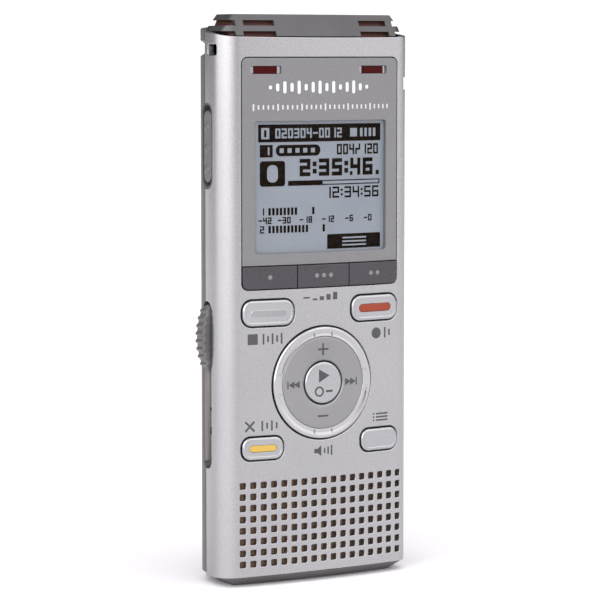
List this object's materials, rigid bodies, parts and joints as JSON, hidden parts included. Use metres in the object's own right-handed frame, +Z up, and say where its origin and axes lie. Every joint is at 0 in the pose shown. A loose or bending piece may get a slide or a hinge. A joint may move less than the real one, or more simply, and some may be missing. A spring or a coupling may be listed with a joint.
{
  "type": "handheld voice recorder",
  "caption": "Slim handheld digital voice recorder: crowned silver front, display, key pad, speaker grille, side slide-out plug and dark rear case.",
  "frame": {"origin": "centre of the flat base", "axes": "+Z up to the microphone end, front faces -Y, +X is the user's right when looking at the display"},
  "size_m": [0.0418, 0.0169, 0.106],
  "materials": {
    "silver_shell": "fine satin silver metallic paint",
    "rear_shell": "dark grey-brown semi-matt plastic",
    "cap_shell": "dark grey metallic paint",
    "panel_plate": "fine grey metallic",
    "clear_window": "clear gloss",
    "lens_red": "dark red translucent",
    "led_chip": "gloss",
    "lcd_glass": "semi-gloss",
    "frame_plastic": "matt black",
    "function_key": "semi-gloss dark grey",
    "silver_button": "silver under clear gloss",
    "orange_insert": "gloss",
    "yellow_insert": "gloss",
    "nav_clear": "clear gloss over silver",
    "nav_satin": "satin",
    "rubber_black": "matt",
    "keypad_rubber": "matt silicone",
    "spring_steel": "bright",
    "board_green": "solder mask",
    "chip_black": "matt",
    "speaker_metal": "black",
    "speaker_film": "translucent film",
    "mesh_cloth": "fine mesh",
    "mic_mesh": "dark wire mesh",
    "mic_metal": "satin",
    "chassis_plastic": "matt",
    "cell_wrap": "printed film",
    "lever_plastic": "semi-matt grey",
    "slide_plastic": "matt grey-brown",
    "plug_metal": "bright nickel",
    "tongue_plastic": "matt white",
    "contact_gold": "gold plate",
    "jack_plastic": "matt black",
    "door_shell": "fine satin silver metallic paint",
    "screw_steel": "black nickel"
  },
  "bodies": {
    "case": {"front_cover": "silver_shell", "rear_case": "rear_shell", "mic_grille_cap": "cap_shell", "mic_screen_left": "mic_mesh", "mic_screen_right": "mic_mesh", "mic_capsule_left": "mic_metal", "mic_capsule_right": "mic_metal", "mic_boot_left": "rubber_black", "mic_boot_right": "rubber_black", "mic_jack": "jack_plastic", "ear_jack": "jack_plastic", "display_panel": "panel_plate", "display_window": "clear_window", "led_lens_left": "lens_red", "led_lens_right": "lens_red", "indicator_led_left": "led_chip", "indicator_led_right": "led_chip", "lcd_panel": "lcd_glass", "lcd_frame": "frame_plastic", "keypad_membrane": "keypad_rubber", "dome_switches": "spring_steel", "main_board": "board_green", "processor_chip": "chip_black", "memory_chip": "chip_black", "speaker_frame": "speaker_metal", "speaker_cone": "speaker_film", "speaker_cloth": "mesh_cloth", "chassis": "chassis_plastic", "battery_cell_right": "cell_wrap", "battery_cell_left": "cell_wrap", "battery_springs": "spring_steel", "battery_plates": "spring_steel", "switch_bezel": "slide_plastic", "slide_switch": "frame_plastic", "card_socket": "spring_steel", "card_cover_pin": "spring_steel", "case_screws": "screw_steel"},
    "f1_push": {"f1_key": "function_key"},
    "menu_push": {"menu_key": "function_key"},
    "f2_push": {"f2_key": "function_key"},
    "stop_push": {"stop_button": "silver_button"},
    "record_push": {"rec_button": "silver_button", "rec_insert": "orange_insert"},
    "erase_push": {"erase_button": "silver_button", "erase_insert": "yellow_insert"},
    "list_push": {"list_button": "silver_button"},
    "ok_push": {"ok_button": "silver_button"},
    "rocker_collar": {"nav_collar": "rubber_black"},
    "rocker_pad": {"nav_ring": "nav_clear", "nav_disc": "nav_satin"},
    "hold_slider": {"power_hold_knob": "lever_plastic"},
    "plug_slider": {"usb_lever": "lever_plastic", "usb_carriage": "slide_plastic", "usb_plug_shell": "plug_metal", "usb_tongue": "tongue_plastic", "usb_contacts": "contact_gold"},
    "cell_lid": {"battery_cover": "rear_shell"},
    "card_lid": {"card_cover": "door_shell"}
  },
  "joints": [
    {"name": "f1_press", "type": "slide", "parent": "case", "child": "f1_push", "axis": [0, 1, 0], "range_m": [0, 0.0003], "stiffness_N_per_m": 700, "springref_m": -0.0008},
    {"name": "menu_press", "type": "slide", "parent": "case", "child": "menu_push", "axis": [0, 1, 0], "range_m": [0, 0.0003], "stiffness_N_per_m": 700, "springref_m": -0.0008},
    {"name": "f2_press", "type": "slide", "parent": "case", "child": "f2_push", "axis": [0, 1, 0], "range_m": [0, 0.0003], "stiffness_N_per_m": 700, "springref_m": -0.0008},
    {"name": "stop_press", "type": "slide", "parent": "case", "child": "stop_push", "axis": [0, 1, 0], "range_m": [0, 0.00035], "stiffness_N_per_m": 700, "springref_m": -0.0008},
    {"name": "record_press", "type": "slide", "parent": "case", "child": "record_push", "axis": [0, 1, 0], "range_m": [0, 0.00035], "stiffness_N_per_m": 700, "springref_m": -0.0008},
    {"name": "erase_press", "type": "slide", "parent": "case", "child": "erase_push", "axis": [0, 1, 0], "range_m": [0, 0.00035], "stiffness_N_per_m": 700, "springref_m": -0.0008},
    {"name": "list_press", "type": "slide", "parent": "case", "child": "list_push", "axis": [0, 1, 0], "range_m": [0, 0.00035], "stiffness_N_per_m": 700, "springref_m": -0.0008},
    {"name": "ok_press", "type": "slide", "parent": "case", "child": "ok_push", "axis": [0, 1, 0], "range_m": [0, 0.00035], "stiffness_N_per_m": 700, "springref_m": -0.0008},
    {"name": "pad_rock_up_down", "type": "hinge", "parent": "case", "child": "rocker_collar", "pos_m": [0, -0.0063, 0.03755], "axis": [1, 0, 0], "range_deg": [-1.2, 1.2], "stiffness_Nm_per_rad": 0.6},
    {"name": "pad_rock_left_right", "type": "hinge", "parent": "rocker_collar", "child": "rocker_pad", "pos_m": [0, -0.0063, 0.03755], "axis": [0, 0, 1], "range_deg": [-1.2, 1.2], "stiffness_Nm_per_rad": 0.6},
    {"name": "hold_slide", "type": "slide", "parent": "case", "child": "hold_slider", "axis": [0, 0, 1], "range_m": [-0.00075, 0.00105]},
    {"name": "plug_slide", "type": "slide", "parent": "case", "child": "plug_slider", "axis": [0, 0, -1], "range_m": [0, 0.018]},
    {"name": "battery_cover_slide", "type": "slide", "parent": "case", "child": "cell_lid", "axis": [0, 0, -1], "range_m": [0, 0.06]},
    {"name": "card_cover_hinge", "type": "hinge", "parent": "case", "child": "card_lid", "pos_m": [0.01875, -0.0027, 0.0804], "axis": [0, 1, 0], "range_deg": [0, 90]}
  ]
}
